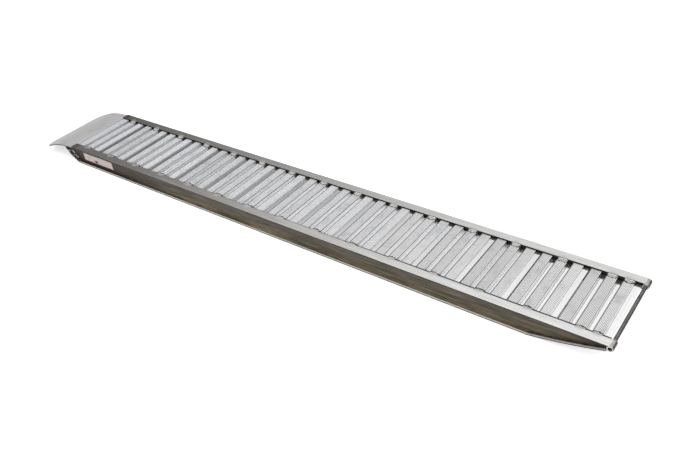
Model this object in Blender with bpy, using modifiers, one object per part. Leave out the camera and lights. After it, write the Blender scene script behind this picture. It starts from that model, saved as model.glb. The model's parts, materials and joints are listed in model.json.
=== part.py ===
"""Aluminium loading ramp: two I-section side rails, a deck of ribbed planks,
a folded lip at the vehicle end and a tapered foot with a round bar at the ground end.

Lengths are in metres. The ramp is modelled from its deck: x = 0 is where the
first plank starts, x grows towards the ground end, y = 0 is the middle of the
deck and z = 0 is the top of the side rails. An empty then sets the whole ramp
down, so that the world origin is on the ground under the ramp's middle.
"""

import math

import bmesh
import bpy
from mathutils import Vector

MM = 0.001

# Deck
plank_count = 15
plank_width = 204 * MM
plank_gap = 4 * MM
plateau_width = 43.5 * MM
valley_width = 23.5 * MM
plateaus_per_plank = 3
plank_wall = 3 * MM
valley_depth = 17 * MM
ledge_depth = 7 * MM
grooves_per_plateau = 7
groove_width = 2.2 * MM
groove_depth = 1 * MM

# Side rails, an I-section each
ramp_width = 427 * MM
rail_height = 100 * MM
flange_width = 40 * MM
flange_thickness = 6.5 * MM
web_thickness = 5 * MM
fillet_radius = 3 * MM
flange_lead = 10 * MM

# Lip that rests on the vehicle
lip_thickness = 6 * MM
lip_rear_gap = 2 * MM
lip_bend_start = -32 * MM
lip_bend_radius = 500 * MM
lip_bend_angle = math.radians(20)
lip_flat_length = 114 * MM
lip_corner_radius = 72 * MM

# Vehicle end of each rail, closed by a folded strip
strip_thickness = 6.5 * MM
nose_top_x = -80 * MM
nose_fold_x = -41 * MM
nose_fold_z = -62 * MM
nose_foot_x = 18 * MM

# Ground end of each rail, closed by a tapered strip
taper_length = 302 * MM
taper_end_height = 30 * MM
taper_end_inset = 11 * MM
taper_bow = 6 * MM

# Bar across the ground end and the ferrules that hold it
bar_diameter = 16 * MM
ferrule_diameter = 28 * MM
ferrule_length = 44 * MM
ferrule_chamfer = 2 * MM
bar_recess = 10 * MM
ferrule_reach = 10.5 * MM

# Angle bar under the back edge of the lip
angle_leg = 30 * MM
angle_thickness = 5 * MM

# Securing hole in each web, and the blank label around the near one
hole_diameter = 12 * MM
hole_x = 173 * MM
hole_z = -66 * MM
label_start_x = 66 * MM
label_length = 252 * MM
label_height = 46 * MM
label_middle_z = -52 * MM
label_thickness = 0.8 * MM
label_corner_radius = 3 * MM

# Clearances, and how far a cutter reaches past what it cuts
touch_gap = 0.3 * MM
cutter_margin = 20 * MM

# Fineness of round shapes
fillet_steps = 3
circle_steps = 32
arc_steps = 10
merge_distance = 0.01 * MM
sharp_angle = math.radians(35)

# Sizes that follow from those above
plank_pitch = plank_width + plank_gap
deck_length = plank_count * plank_pitch
half_width = ramp_width / 2
rail_middle_y = half_width - flange_width / 2
web_inner_y = rail_middle_y - web_thickness / 2
plank_length = 2 * (web_inner_y - fillet_radius - touch_gap)
deck_top_z = -flange_thickness - touch_gap
lip_top_z = -flange_thickness
ferrule_radius = ferrule_diameter / 2
ferrule_x = deck_length + ferrule_reach
ferrule_z = -ferrule_radius
taper_end_x = ferrule_x - taper_end_inset
taper_start_x = taper_end_x - taper_length
lip_tip_x = (
    lip_bend_start
    - lip_bend_radius * math.sin(lip_bend_angle)
    - lip_flat_length * math.cos(lip_bend_angle)
)
ramp_front_x = ferrule_x + ferrule_radius
ramp_middle_x = (lip_tip_x + ramp_front_x) / 2

ALUMINIUM_RAIL = ("mill_finish_rail", (0.50, 0.49, 0.47), 0.42)
ALUMINIUM_DECK = ("mill_finish_deck", (0.68, 0.69, 0.70), 0.34)
ALUMINIUM_LIP = ("mill_finish_lip", (0.58, 0.58, 0.58), 0.38)
ALUMINIUM_BAR = ("mill_finish_bar", (0.42, 0.41, 0.41), 0.36)


def clear_scene():
    """Remove every object that the file holds."""
    for scene_object in list(bpy.data.objects):
        bpy.data.objects.remove(scene_object, do_unlink=True)


def make_collection(name):
    """Add a collection to the scene."""
    collection = bpy.data.collections.new(name)
    bpy.context.scene.collection.children.link(collection)
    return collection


def make_material(name, colour, roughness, metallic=1.0):
    """Return the Principled material of that name, made once."""
    material = bpy.data.materials.get(name)
    if material is None:
        material = bpy.data.materials.new(name)
        material.use_nodes = True
        shader = material.node_tree.nodes["Principled BSDF"]
        shader.inputs["Base Color"].default_value = (*colour, 1.0)
        shader.inputs["Roughness"].default_value = roughness
        shader.inputs["Metallic"].default_value = metallic
        material.diffuse_color = (*colour, 1.0)
    return material


def arc(centre, radius, start, end, steps):
    """Points along a circle about centre, both ends included."""
    return [
        (
            centre[0] + radius * math.cos(start + (end - start) * step / steps),
            centre[1] + radius * math.sin(start + (end - start) * step / steps),
        )
        for step in range(steps + 1)
    ]


def circle(centre, radius):
    """Points of a full circle."""
    return arc(centre, radius, 0, 2 * math.pi, circle_steps)[:-1]


def flat_outline(name, loops, thickness):
    """A 2D curve filled between its loops, with that thickness."""
    curve = bpy.data.curves.new(name, "CURVE")
    curve.dimensions = "2D"
    curve.fill_mode = "BOTH"
    curve.extrude = thickness / 2
    for loop in loops:
        spline = curve.splines.new("POLY")
        spline.points.add(len(loop) - 1)
        for point, (across, up) in zip(spline.points, loop):
            point.co = (across, up, 0, 1)
        spline.use_cyclic_u = True
    return bpy.data.objects.new(name, curve)


def as_mesh(curve_object, collection):
    """Turn an outline into a welded mesh object that stands in the same place."""
    collection.objects.link(curve_object)
    bpy.context.view_layer.update()
    evaluated = curve_object.evaluated_get(bpy.context.evaluated_depsgraph_get())
    mesh = bpy.data.meshes.new_from_object(evaluated)
    shape = bmesh.new()
    shape.from_mesh(mesh)
    bmesh.ops.remove_doubles(shape, verts=shape.verts, dist=merge_distance)
    bmesh.ops.recalc_face_normals(shape, faces=shape.faces)
    shape.to_mesh(mesh)
    shape.free()
    name = curve_object.name
    place = curve_object.matrix_world.copy()
    bpy.data.objects.remove(curve_object, do_unlink=True)
    mesh_object = bpy.data.objects.new(name, mesh)
    mesh_object.matrix_world = place
    collection.objects.link(mesh_object)
    return mesh_object


def seen_from_side(outline, y=0.0):
    """Stand an outline drawn in x and z upright, across the ramp at y."""
    outline.rotation_euler = (math.pi / 2, 0, 0)
    outline.location = (0, y, 0)
    return outline


def seen_from_end(outline, x=0.0):
    """Stand an outline drawn in y and z upright, along the ramp at x."""
    outline.rotation_euler = (math.pi / 2, 0, math.pi / 2)
    outline.location = (x, 0, 0)
    return outline


def finish(piece, look, parts, ramp):
    """Give a finished piece its material and its place under the ramp's empty."""
    name, colour, roughness = look[:3]
    metallic = look[3] if len(look) > 3 else 1.0
    piece.data.materials.clear()
    piece.data.materials.append(make_material(name, colour, roughness, metallic))
    if piece.name not in parts.objects:
        parts.objects.link(piece)
    piece.parent = ramp
    return piece


def hide_cutter(cutter):
    """Keep a cutter out of renders and show it as wire."""
    cutter.hide_render = True
    cutter.display_type = "WIRE"


def boolean(piece, cutter, operation):
    """Add an exact Boolean to a piece."""
    modifier = piece.modifiers.new(operation.lower(), "BOOLEAN")
    modifier.operation = operation
    modifier.solver = "EXACT"
    modifier.object = cutter
    return modifier


def shade_round(piece):
    """Shade the round faces smooth and keep the real edges sharp."""
    piece.data.shade_smooth()
    piece.data.set_sharp_from_angle(angle=sharp_angle)


# Shapes that several pieces share


def taper_circle():
    """Centre and radius of the bowed underside of the ground-end taper."""
    start = Vector((taper_start_x, -rail_height))
    end = Vector((taper_end_x, -taper_end_height))
    chord = end - start
    half = chord.length / 2
    radius = (half ** 2 + taper_bow ** 2) / (2 * taper_bow)
    upwards = Vector((-chord.y, chord.x)).normalized()
    centre = (start + end) / 2 + upwards * (radius - taper_bow)
    start_angle = math.atan2(start.y - centre.y, start.x - centre.x)
    end_angle = math.atan2(end.y - centre.y, end.x - centre.x)
    return centre, radius, start_angle, end_angle


def taper_line(depth):
    """The taper's underside, moved up into the rail by depth."""
    centre, radius, start_angle, end_angle = taper_circle()
    return arc(centre, radius - depth, start_angle, end_angle, arc_steps)


def lip_line(depth, stop_x=None):
    """The lip's top surface from its bend to its tip, moved down by depth.

    With stop_x the line ends at that x, which has to lie on the bend.
    """
    centre = (lip_bend_start, lip_top_z - lip_bend_radius)
    radius = lip_bend_radius - depth
    top = math.pi / 2
    if stop_x is not None:
        end_angle = top + math.asin((lip_bend_start - stop_x) / radius)
        return arc(centre, radius, top, end_angle, arc_steps)
    line = arc(centre, radius, top, top + lip_bend_angle, arc_steps)
    flat = Vector((-math.cos(lip_bend_angle), -math.sin(lip_bend_angle))) * lip_flat_length
    last = line[-1]
    line.append((last[0] + flat.x, last[1] + flat.y))
    return line


def nose_line(depth, foot_gap=0.0):
    """The outside of the folded nose strip, from its foot up, moved inwards by depth.

    The foot is mitred against the bottom flange, and foot_gap moves the mitre back.
    """
    foot = Vector((nose_foot_x, -rail_height))
    fold = Vector((nose_fold_x, nose_fold_z))
    top = Vector((nose_top_x, lip_underside_z(nose_top_x) - touch_gap))
    lower = (fold - foot).normalized()
    upper = (top - fold).normalized()
    lower_in = Vector((lower.y, -lower.x))
    upper_in = Vector((upper.y, -upper.x))
    middle_in = (lower_in + upper_in).normalized()
    foot_in = (Vector((0, 1)) + lower_in).normalized()
    foot_point = foot + foot_in * (depth / foot_in.dot(lower_in))
    foot_point.x += foot_gap / foot_in.y
    fold_point = fold + middle_in * (depth / middle_in.dot(lower_in))
    top_point = top + upper_in * depth
    reach = (lip_underside_z(top_point.x) - touch_gap - top_point.y) / upper.y
    top_point = top_point + upper * reach
    return [tuple(foot_point), tuple(fold_point), tuple(top_point)]


def lip_underside_z(x):
    """Height of the lip's underside at a place before or on its bend."""
    if x > lip_bend_start:
        return lip_top_z - lip_thickness
    radius = lip_bend_radius - lip_thickness
    drop = radius - math.sqrt(radius ** 2 - (lip_bend_start - x) ** 2)
    return lip_top_z - lip_thickness - drop


def ferrule_clearance(cutters):
    """A cylinder a little larger than a ferrule, which copes what meets it."""
    cutter = flat_outline(
        "ferrule_clearance",
        [circle((ferrule_x, ferrule_z), ferrule_radius + touch_gap)],
        2 * ramp_width,
    )
    cutter = as_mesh(seen_from_side(cutter), cutters)
    hide_cutter(cutter)
    return cutter


# Side rails


def rail_section():
    """The I-section in y and z about its web, as one closed loop."""
    edge = flange_width / 2
    web = web_thickness / 2
    top_inside = -flange_thickness
    bottom_inside = -rail_height + flange_thickness
    round_top = top_inside - fillet_radius
    round_bottom = bottom_inside + fillet_radius
    out = web + fillet_radius
    quarter = math.pi / 2
    right = [(edge, 0), (edge, top_inside)]
    right += arc((out, round_top), fillet_radius, quarter, 2 * quarter, fillet_steps)
    right += arc((out, round_bottom), fillet_radius, 2 * quarter, 3 * quarter, fillet_steps)
    right += [(edge, bottom_inside), (edge, -rail_height)]
    left = [(-across, up) for across, up in reversed(right)]
    return right + left


def rail_side_shape():
    """What is left of the rail when it is seen from the side."""
    slot_end_x = -lip_rear_gap + touch_gap
    slot_top_z = lip_top_z + touch_gap
    slot_floor_z = lip_top_z - lip_thickness - touch_gap
    above_z = cutter_margin
    below_z = -rail_height - cutter_margin
    nose = nose_line(strip_thickness + touch_gap, foot_gap=touch_gap)
    bend = lip_line(lip_thickness + touch_gap, stop_x=nose[-1][0])
    taper = taper_line(strip_thickness + touch_gap)
    shape = [
        (-flange_lead, above_z),
        (-flange_lead, slot_top_z),
        (slot_end_x, slot_top_z),
        (slot_end_x, slot_floor_z),
    ]
    shape += bend
    foot = nose_line(0, foot_gap=touch_gap)[0]
    shape += [nose[1], nose[0], foot, (foot[0], below_z)]
    heel_x = taper_start_x - touch_gap
    shape += [(heel_x, below_z), (heel_x, -rail_height)]
    shape += [(taper[0][0] - touch_gap, taper[0][1])]
    shape += taper[1:]
    shape += [(ferrule_x, taper[-1][1]), (ferrule_x, above_z)]
    return shape


def make_rail(name, y, parts, ramp, side_shape, clearance, drill):
    """One I-section rail, cut to shape at both ends and drilled."""
    start = nose_top_x - flange_width
    stop = ferrule_x + flange_width
    section = [(across + y, up) for across, up in rail_section()]
    rail = flat_outline(name, [section], stop - start)
    rail = as_mesh(seen_from_end(rail, (start + stop) / 2), parts)
    boolean(rail, side_shape, "INTERSECT")
    boolean(rail, clearance, "DIFFERENCE")
    boolean(rail, drill, "DIFFERENCE")
    return finish(rail, ALUMINIUM_RAIL, parts, ramp)


def make_rails(parts, cutters, ramp, clearance):
    """Both rails, with the cutters that they share."""
    side_shape = flat_outline("rail_side_shape", [rail_side_shape()], 2 * ramp_width)
    side_shape = as_mesh(seen_from_side(side_shape), cutters)
    hide_cutter(side_shape)
    drill = flat_outline(
        "securing_hole_drill", [circle((hole_x, hole_z), hole_diameter / 2)], 2 * ramp_width
    )
    drill = as_mesh(seen_from_side(drill), cutters)
    hide_cutter(drill)
    for name, y in (("near_side_rail", -rail_middle_y), ("far_side_rail", rail_middle_y)):
        make_rail(name, y, parts, ramp, side_shape, clearance, drill)


def make_nose_strips(parts, ramp):
    """The folded strip that closes the web at the vehicle end of each rail."""
    outside = nose_line(0)
    inside = nose_line(strip_thickness)
    loop = outside + list(reversed(inside))
    for name, y in (("near_nose_strip", -rail_middle_y), ("far_nose_strip", rail_middle_y)):
        strip = flat_outline(name, [loop], flange_width)
        strip = as_mesh(seen_from_side(strip, y), parts)
        finish(strip, ALUMINIUM_RAIL, parts, ramp)


def make_taper_strips(parts, ramp, clearance):
    """The bowed strip under the ground-end taper of each rail."""
    loop = taper_line(0) + list(reversed(taper_line(strip_thickness)))
    for name, y in (("near_taper_strip", -rail_middle_y), ("far_taper_strip", rail_middle_y)):
        strip = flat_outline(name, [loop], flange_width)
        strip = as_mesh(seen_from_side(strip, y), parts)
        boolean(strip, clearance, "DIFFERENCE")
        finish(strip, ALUMINIUM_RAIL, parts, ramp)


# Deck


def plateau_top(start_x):
    """The grooved top of one plateau, from left to right."""
    pitch = plateau_width / (grooves_per_plateau + 1)
    line = [(start_x, deck_top_z)]
    for number in range(1, grooves_per_plateau + 1):
        middle = start_x + number * pitch
        line.append((middle - groove_width / 2, deck_top_z))
        line.append((middle, deck_top_z - groove_depth))
        line.append((middle + groove_width / 2, deck_top_z))
    line.append((start_x + plateau_width, deck_top_z))
    return line


def plank_section():
    """Cross-section of a plank in x and z: plateaus, valleys and the low ledge."""
    step = plateau_width + valley_width
    valley_z = deck_top_z - valley_depth
    ledge_z = deck_top_z - ledge_depth
    top = []
    under = [(0, valley_z - plank_wall)]
    for number in range(plateaus_per_plank):
        left = number * step
        right = left + plateau_width
        last = number == plateaus_per_plank - 1
        top += plateau_top(left)
        floor_z = ledge_z if last else valley_z
        next_x = plank_width if last else left + step
        top += [(right, floor_z), (next_x, floor_z)]
        under.append((left + plank_wall, valley_z - plank_wall))
        under.append((left + plank_wall, deck_top_z - plank_wall))
        under.append((right - plank_wall, deck_top_z - plank_wall))
        under.append((right - plank_wall, floor_z - plank_wall))
    under.append((plank_width, ledge_z - plank_wall))
    return top + list(reversed(under))


def make_planks(parts, ramp):
    """The deck planks, each its own object with its own outline."""
    for number in range(plank_count):
        name = f"deck_plank_{number + 1:02d}"
        plank = flat_outline(name, [plank_section()], plank_length)
        plank = as_mesh(seen_from_side(plank), parts)
        plank.location.x = number * plank_pitch
        finish(plank, ALUMINIUM_DECK, parts, ramp)


# Lip and what is under it


def make_lip(parts, cutters, ramp):
    """The folded lip plate with its two large tip corners."""
    rear = -lip_rear_gap
    loop = [(rear, lip_top_z)] + lip_line(0)
    loop += list(reversed(lip_line(lip_thickness)))
    loop += [(rear, lip_top_z - lip_thickness)]
    lip = flat_outline("lip_plate", [loop], ramp_width)
    lip = as_mesh(seen_from_side(lip), parts)
    r = lip_corner_radius
    corner_x = lip_tip_x + r
    corner_y = half_width - r
    outside_y = half_width + cutter_margin
    quarter = math.pi / 2
    plan = [(cutter_margin, outside_y), (corner_x, outside_y)]
    plan += arc((corner_x, corner_y), r, quarter, 2 * quarter, arc_steps)
    plan += arc((corner_x, -corner_y), r, 2 * quarter, 3 * quarter, arc_steps)
    plan += [(corner_x, -outside_y), (cutter_margin, -outside_y)]
    trim = as_mesh(flat_outline("lip_plan", [plan], 4 * rail_height), cutters)
    hide_cutter(trim)
    boolean(lip, trim, "INTERSECT")
    return finish(lip, ALUMINIUM_LIP, parts, ramp)


def make_lip_angle(parts, ramp):
    """The angle bar between the webs that carries the back edge of the lip."""
    back = -lip_rear_gap
    top = lip_underside_z(back - angle_leg) - touch_gap
    loop = [
        (back - angle_leg, top),
        (back, top),
        (back, top - angle_leg),
        (back - angle_thickness, top - angle_leg),
        (back - angle_thickness, top - angle_thickness),
        (back - angle_leg, top - angle_thickness),
    ]
    angle = flat_outline("lip_support_angle", [loop], 2 * (web_inner_y - touch_gap))
    angle = as_mesh(seen_from_side(angle), parts)
    return finish(angle, ALUMINIUM_BAR, parts, ramp)


# Ground-end bar


def make_ferrules(parts, ramp):
    """The short tubes at the rails' ends that hold the round bar."""
    bore = bar_diameter / 2 + touch_gap
    outer = ferrule_radius
    half = ferrule_length / 2
    chamfer = ferrule_chamfer
    profile = [
        (outer - chamfer, half),
        (outer, half - chamfer),
        (outer, -half + chamfer),
        (outer - chamfer, -half),
        (bore, -half),
        (bore, half),
    ]
    for name, side in (("near_bar_ferrule", -1), ("far_bar_ferrule", 1)):
        mesh = bpy.data.meshes.new(name)
        points = [(across, 0, up) for across, up in profile]
        edges = [(index, (index + 1) % len(points)) for index in range(len(points))]
        mesh.from_pydata(points, edges, [])
        ferrule = bpy.data.objects.new(name, mesh)
        turn = ferrule.modifiers.new("turn", "SCREW")
        turn.steps = circle_steps
        turn.render_steps = circle_steps
        turn.use_merge_vertices = True
        turn.merge_threshold = merge_distance
        ferrule.rotation_euler = (math.pi / 2, 0, 0)
        ferrule.location = (ferrule_x, side * (half_width - half), ferrule_z)
        finish(ferrule, ALUMINIUM_RAIL, parts, ramp)


def make_bar(parts, ramp):
    """The round bar between the ferrules, set back from their outer ends."""
    length = ramp_width - 2 * bar_recess
    mesh = bpy.data.meshes.new("ground_end_bar")
    shape = bmesh.new()
    bmesh.ops.create_cone(
        shape,
        cap_ends=True,
        segments=circle_steps,
        radius1=bar_diameter / 2,
        radius2=bar_diameter / 2,
        depth=length,
    )
    shape.to_mesh(mesh)
    shape.free()
    bar = bpy.data.objects.new("ground_end_bar", mesh)
    bar.rotation_euler = (math.pi / 2, 0, 0)
    bar.location = (ferrule_x, 0, ferrule_z)
    shade_round(bar)
    return finish(bar, ALUMINIUM_BAR, parts, ramp)


# Label


def make_label(parts, ramp):
    """The blank label plate on the near web, pierced by the securing hole."""
    left = label_start_x
    right = left + label_length
    low = label_middle_z - label_height / 2
    high = label_middle_z + label_height / 2
    r = label_corner_radius
    quarter = math.pi / 2
    corners = (
        ((right - r, high - r), 0),
        ((left + r, high - r), quarter),
        ((left + r, low + r), 2 * quarter),
        ((right - r, low + r), 3 * quarter),
    )
    loop = []
    for centre, start in corners:
        loop += arc(centre, r, start, start + quarter, fillet_steps)
    label = flat_outline(
        "blank_label", [loop, circle((hole_x, hole_z), hole_diameter / 2)], label_thickness
    )
    web_face_y = -rail_middle_y - web_thickness / 2
    label = as_mesh(
        seen_from_side(label, web_face_y - touch_gap - label_thickness / 2), parts
    )
    return finish(label, ("label_plate", (0.75, 0.73, 0.71), 0.5, 0.0), parts, ramp)


def main():
    """Build the whole ramp."""
    clear_scene()
    parts = make_collection("aluminium_loading_ramp")
    cutters = make_collection("cutters")
    ramp = bpy.data.objects.new("ramp_origin", None)
    parts.objects.link(ramp)
    ramp.location = (-ramp_middle_x, 0, rail_height)
    clearance = ferrule_clearance(cutters)
    make_rails(parts, cutters, ramp, clearance)
    make_nose_strips(parts, ramp)
    make_taper_strips(parts, ramp, clearance)
    make_planks(parts, ramp)
    make_lip(parts, cutters, ramp)
    make_lip_angle(parts, ramp)
    make_ferrules(parts, ramp)
    make_bar(parts, ramp)
    make_label(parts, ramp)
    for cutter in cutters.objects:
        cutter.parent = ramp


main()
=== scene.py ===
"""Looks of an aluminium loading ramp, laid out as a Blender add-on.

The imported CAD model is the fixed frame. Each operator dresses one group of the
ramp's pieces: it copies the CAD shape, softens its edges and gives it the finish
of the real metal. Two more add the weld beads, and the last one sets the stage.
Lengths are in metres. X runs along the ramp from its vehicle end to its ground
end, Y across it from the near rail to the far rail, and Z up.
"""

import json
import math
import random

import bpy
from bpy.props import FloatProperty, FloatVectorProperty, IntProperty, PointerProperty
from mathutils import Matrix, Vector

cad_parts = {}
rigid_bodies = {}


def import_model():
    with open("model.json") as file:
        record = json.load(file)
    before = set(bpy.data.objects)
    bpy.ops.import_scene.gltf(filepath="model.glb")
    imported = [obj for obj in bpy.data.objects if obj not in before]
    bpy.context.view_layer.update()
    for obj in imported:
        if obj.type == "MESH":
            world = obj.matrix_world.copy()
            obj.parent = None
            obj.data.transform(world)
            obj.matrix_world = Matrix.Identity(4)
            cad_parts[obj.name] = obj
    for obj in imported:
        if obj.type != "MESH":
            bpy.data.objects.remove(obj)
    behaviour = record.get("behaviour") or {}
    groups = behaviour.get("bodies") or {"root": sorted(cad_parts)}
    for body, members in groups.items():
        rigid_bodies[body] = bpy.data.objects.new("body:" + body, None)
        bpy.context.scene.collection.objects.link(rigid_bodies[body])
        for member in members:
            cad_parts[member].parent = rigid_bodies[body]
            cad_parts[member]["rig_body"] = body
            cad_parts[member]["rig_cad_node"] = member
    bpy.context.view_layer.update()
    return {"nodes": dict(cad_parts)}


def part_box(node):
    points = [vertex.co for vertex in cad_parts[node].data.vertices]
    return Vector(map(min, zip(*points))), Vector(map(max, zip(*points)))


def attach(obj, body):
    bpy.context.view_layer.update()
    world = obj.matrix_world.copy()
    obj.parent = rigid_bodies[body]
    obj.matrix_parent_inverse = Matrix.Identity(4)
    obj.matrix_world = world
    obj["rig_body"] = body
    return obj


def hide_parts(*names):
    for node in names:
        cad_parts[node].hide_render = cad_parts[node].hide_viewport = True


bl_info = {
    "name": "Aluminium Loading Ramp",
    "version": (1, 0, 0),
    "blender": (4, 5, 0),
    "location": "3D View > Sidebar > Ramp",
    "description": "Dresses the CAD model of an aluminium loading ramp",
    "category": "Object",
}

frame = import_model()

MM = 0.001
BODY = "root"
PLANKS = sorted(node for node in frame["nodes"] if node.startswith("deck_plank_"))

# Which way each side lies from the ramp's middle, along Y
SIDES = {"near": -1, "far": 1}

# Past the ramp on every side, for a band that ends on one side only
BEYOND = 2

# The planks' section below their ribbed tops, as in the CAD
GROOVE_DEPTH = 1 * MM
LEDGE_DEPTH = 7 * MM

# Corners closer than this are one corner, and faces that turn less are one flat face
JOIN_DISTANCE = 0.02 * MM
FLAT_ANGLE = math.radians(0.5)

# Edges that turn by more than this are rounded, on the planks by more than RIB_ANGLE
EDGE_ANGLE = math.radians(38)
RIB_ANGLE = math.radians(30)

# Faces that turn less than this are shaded as one curve
CURVE_ANGLE = math.radians(60)

# Seeds of the weld beads' ripples and places
PLANK_BEAD_SEED = 7
END_BEAD_SEED = 3

# How far, in millimetres, a bead laid by hand may miss its place
MISS_ALONG = 2
MISS_ACROSS = 0.6

# Places of a Mix node's colour sockets
FACTOR = 0
FIRST = 6
SECOND = 7

# Settings that many nodes share
SMOOTH = {"interpolation_type": "SMOOTHSTEP"}
LINEAR = {"interpolation_type": "LINEAR"}
BLEND = {"data_type": "RGBA"}
TINT = {"data_type": "RGBA", "blend_type": "MULTIPLY"}
ADD = {"operation": "ADD"}
SUBTRACT = {"operation": "SUBTRACT"}
MULTIPLY = {"operation": "MULTIPLY"}
DIVIDE = {"operation": "DIVIDE"}
MAXIMUM = {"operation": "MAXIMUM"}
ABSOLUTE = {"operation": "ABSOLUTE"}
WRAP = {"operation": "WRAP"}
LENGTH = {"operation": "LENGTH"}


# Reading places from the frame


def node_low(node):
    """Lowest corner of a CAD node."""
    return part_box(node)[0]


def node_high(node):
    """Highest corner of a CAD node."""
    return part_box(node)[1]


def flange_inner_y():
    """How far from the ramp's middle the inner edges of the top flanges lie."""
    return node_low("far_side_rail").y


def deck_top():
    """Height of the planks' ribbed tops."""
    return node_high(PLANKS[0]).z


def plank_pitch():
    """Distance from one plank to the next."""
    return node_low(PLANKS[1]).x - node_low(PLANKS[0]).x


def weld_places(sizes):
    """Where along the ramp the planks are welded.

    Each is welded at its middle plateau, and the last one at its last plateau too.
    """
    middle = sizes.plateau_step + sizes.plateau_width / 2
    places = [node_low(plank).x + middle for plank in PLANKS]
    return places + [places[-1] + sizes.plateau_step]


# Sizes and colours that a user would change


def linear(hex_colour):
    """Turn an sRGB hex colour into the linear colour that a shader takes."""
    channels = []
    for start in (1, 3, 5):
        value = int(hex_colour[start:start + 2], 16) / 255
        if value <= 0.04045:
            channels.append(value / 12.92)
        else:
            channels.append(((value + 0.055) / 1.055) ** 2.4)
    return (*channels, 1.0)


def colour_property(name, description, hex_colour):
    """A colour that a user may change, given as sRGB hex."""
    return FloatVectorProperty(
        name=name,
        description=description,
        default=linear(hex_colour),
        subtype="COLOR",
        size=4,
        min=0,
        max=1,
    )


def length_property(name, description, default):
    """A length that a user may change."""
    return FloatProperty(name=name, description=description, default=default, unit="LENGTH")


class RampSizes(bpy.types.PropertyGroup):
    """Sizes of the fine detail that the dressed pieces get."""

    edge_radius: length_property(
        "Edge radius", "Rounding of all edges but the planks' and the label's", 0.9 * MM
    )
    rib_radius: length_property(
        "Rib radius", "Rounding of the planks' ribs and edges", 0.6 * MM
    )
    label_radius: length_property("Label radius", "Rounding of the label's edge", 0.2 * MM)
    plateau_width: length_property(
        "Plateau width", "Width of each ribbed plateau of a plank", 43.5 * MM
    )
    plateau_step: length_property(
        "Plateau step", "Distance from one plateau of a plank to the next", 67 * MM
    )
    bead_length: length_property(
        "Bead length", "Length of a weld bead between a plank and a rail", 40 * MM
    )
    bead_reach: length_property("Bead reach", "How far a bead spreads onto the plank", 8 * MM)
    near_bead_shift: length_property(
        "Near bead shift", "How much further onto the planks the near rail's beads lie", 4 * MM
    )
    bead_height: length_property(
        "Bead height",
        "Height of a bead above the plank, a little below the flange's top",
        6.2 * MM,
    )
    corner_bead: length_property(
        "Corner bead", "Radius of the smaller beads inside corners", 5 * MM
    )
    corner_length: length_property(
        "Corner bead length", "Length of the smaller beads inside corners", 30 * MM
    )
    bead_ripple: length_property(
        "Ripple pitch", "Distance from one ripple of a weld bead to the next", 4 * MM
    )
    bead_sides: IntProperty(
        name="Bead sides",
        description="Number of faces round a weld bead",
        default=12,
        min=6,
    )
    brushed_past: length_property(
        "Brushed past", "How far the wire-brushed patch goes past a bead's end", 3 * MM
    )
    brushed_reach: length_property(
        "Brushed reach", "How far the wire-brushed patch spreads to both sides of a weld", 15 * MM
    )
    # Where the securing hole lies, and the ring of painted shade round it
    hole_along: length_property(
        "Hole along", "How far the securing hole is from the label's start", 107 * MM
    )
    hole_up: length_property(
        "Hole up",
        "How far the middle of the securing hole's dirt is above the label's lower edge",
        12 * MM,
    )
    hole_shade_reach: length_property(
        "Hole dirt", "How high the dirt reaches above its own middle", 7 * MM
    )


class RampColours(bpy.types.PropertyGroup):
    """Colours of the metal, the welds and the label."""

    flange: colour_property("Flange", "Tops of the side rails at the ground end", "#ECECEB")
    # The film's darkness is partly a painted reflection of the dark ground
    film: colour_property("Film", "Weathered film on the rails' webs and edges", "#6C6150")
    strip: colour_property("Strip", "Cleaner patches inside the bent flat bars", "#5E564D")
    crest: colour_property("Rib crests", "Ribbed plateaus of the planks", "#E4E6E9")
    ledge: colour_property("Ledges", "Smooth ledges and floors at the ground end", "#F9F9FA")
    lip: colour_property("Lip", "Rolled sheet of the lip", "#BFBEBE")
    bar: colour_property("Bar", "Drawn round bar", "#86817D")
    ferrule: colour_property("Ferrule", "Sawn tubes that hold the bar", "#CFCDCA")
    weld: colour_property("Weld", "Weld beads", "#D8D7D5")
    label: colour_property("Label", "Blank label plate", "#CDBDB6")


class RampStage(bpy.types.PropertyGroup):
    """The camera, the lamp and what stands around the ramp."""

    camera_place: FloatVectorProperty(
        name="Camera place",
        description="Where the camera stands",
        default=(2.1838, -2.1351, 2.0674),
        subtype="TRANSLATION",
        unit="LENGTH",
    )
    camera_turn: FloatVectorProperty(
        name="Camera turn",
        description="How the camera is turned",
        default=(math.radians(53.0225), math.radians(5.5683), math.radians(35.7207)),
        subtype="EULER",
    )
    camera_lens: FloatProperty(
        name="Camera lens",
        description="Focal length in millimetres on a sensor 36 mm wide",
        default=37.545,
    )
    floor_size: length_property("Floor size", "Width of the square floor", 60)
    floor_drop: length_property(
        "Floor drop", "How far the floor lies below what rests on it", 0.3 * MM
    )
    floor_colour: colour_property("Floor", "Paint of the floor", "#EDEDED")
    floor_glow: FloatProperty(
        name="Floor glow",
        description="How much light the floor adds to its paint where it is seen",
        default=0.58,
    )
    surround_radius: length_property(
        "Surround radius", "Distance of the dim surround that the metal reflects", 25
    )
    surround_low: FloatProperty(
        name="Surround angle",
        description="Height angle up to which the surround is dim",
        default=math.radians(25),
        subtype="ANGLE",
    )
    surround_high: FloatProperty(
        name="Open light angle",
        description="Height angle from which the light is fully open",
        default=math.radians(41),
        subtype="ANGLE",
    )
    surround_colour: colour_property("Surround", "Dim part of the surround", "#646566")
    lamp_height: length_property(
        "Lamp height", "Height of the large soft lamp above the ramp", 5
    )
    lamp_size: length_property("Lamp size", "Width of the large soft lamp", 4)
    lamp_power: FloatProperty(
        name="Lamp power",
        description="Power of the large soft lamp in watts",
        default=25,
    )


# Node patterns


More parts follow.
